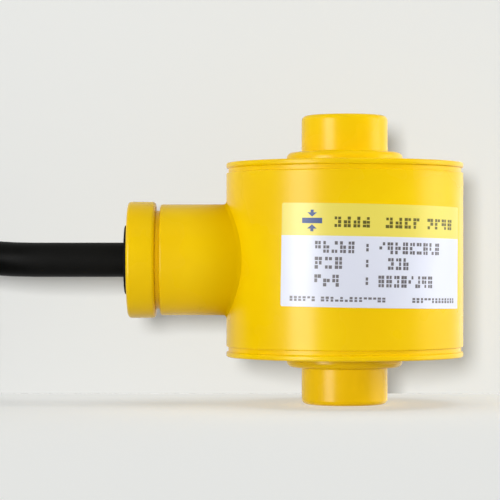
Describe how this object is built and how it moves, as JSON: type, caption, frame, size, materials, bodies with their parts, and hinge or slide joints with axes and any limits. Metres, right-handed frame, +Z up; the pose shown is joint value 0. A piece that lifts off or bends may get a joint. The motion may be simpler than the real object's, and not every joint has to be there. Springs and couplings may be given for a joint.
{
  "type": "column load cell",
  "caption": "Round canister column load cell with plain load bosses above and below, a side gland port and a tied hank of its signal cable.",
  "frame": {"origin": "centre of the lower load face, on the column axis", "axes": "+Z up along the column axis, -X along the cable port, -Y through the front where the label starts"},
  "size_m": [0.2575, 0.0733, 0.067],
  "materials": {
    "yellow_enamel": "gloss yellow enamel over turned steel",
    "black_rubber": "matt black rubber",
    "washer_brass": "turned brass",
    "board_laminate": "green glass-fibre board",
    "tinned_copper": "bright tinned copper",
    "resistor_glaze": "glazed resistor body",
    "gauge_film": "amber film with foil grids",
    "strip_laminate": "thin laminate with copper pads",
    "wire_enamel": "red-brown wire enamel",
    "core_red": "red core insulation",
    "core_black": "black core insulation",
    "core_green": "green core insulation",
    "core_white": "white core insulation",
    "label_film": "white film label with a pale yellow band",
    "cable_jacket": "matt black cable jacket",
    "tie_strap": "dark woven hook-and-loop strap",
    "shrink_sleeve": "black shrink sleeve"
  },
  "bodies": {
    "root": {"sensing_column": "yellow_enamel", "housing_tube": "yellow_enamel", "upper_diaphragm": "yellow_enamel", "lower_diaphragm": "yellow_enamel", "port_tube": "yellow_enamel", "gland_cap": "yellow_enamel", "cap_sealing_ring": "black_rubber", "cable_seal": "black_rubber", "thrust_washer": "washer_brass", "terminal_board": "board_laminate", "solder_posts": "tinned_copper", "span_resistor": "resistor_glaze", "zero_resistor": "resistor_glaze", "strain_gauge_front": "gauge_film", "strain_gauge_back": "gauge_film", "strain_gauge_port_side": "gauge_film", "strain_gauge_far_side": "gauge_film", "terminal_strip_front": "strip_laminate", "terminal_strip_back": "strip_laminate", "terminal_strip_port_side": "strip_laminate", "terminal_strip_far_side": "strip_laminate", "bridge_jumpers": "wire_enamel", "bridge_leads": "wire_enamel", "gland_cable": "cable_jacket", "inner_core_red": "core_red", "inner_core_black": "core_black", "inner_core_green": "core_green", "inner_core_white": "core_white", "label": "label_film", "cable_lead": "cable_jacket", "cable_hank": "cable_jacket", "cable_tail": "cable_jacket", "hank_tie": "tie_strap", "end_sleeve": "shrink_sleeve", "end_core_red": "core_red", "end_core_black": "core_black", "end_core_green": "core_green", "end_core_white": "core_white", "end_drain": "tinned_copper", "tinned_ends": "tinned_copper"}
  },
  "joints": []
}
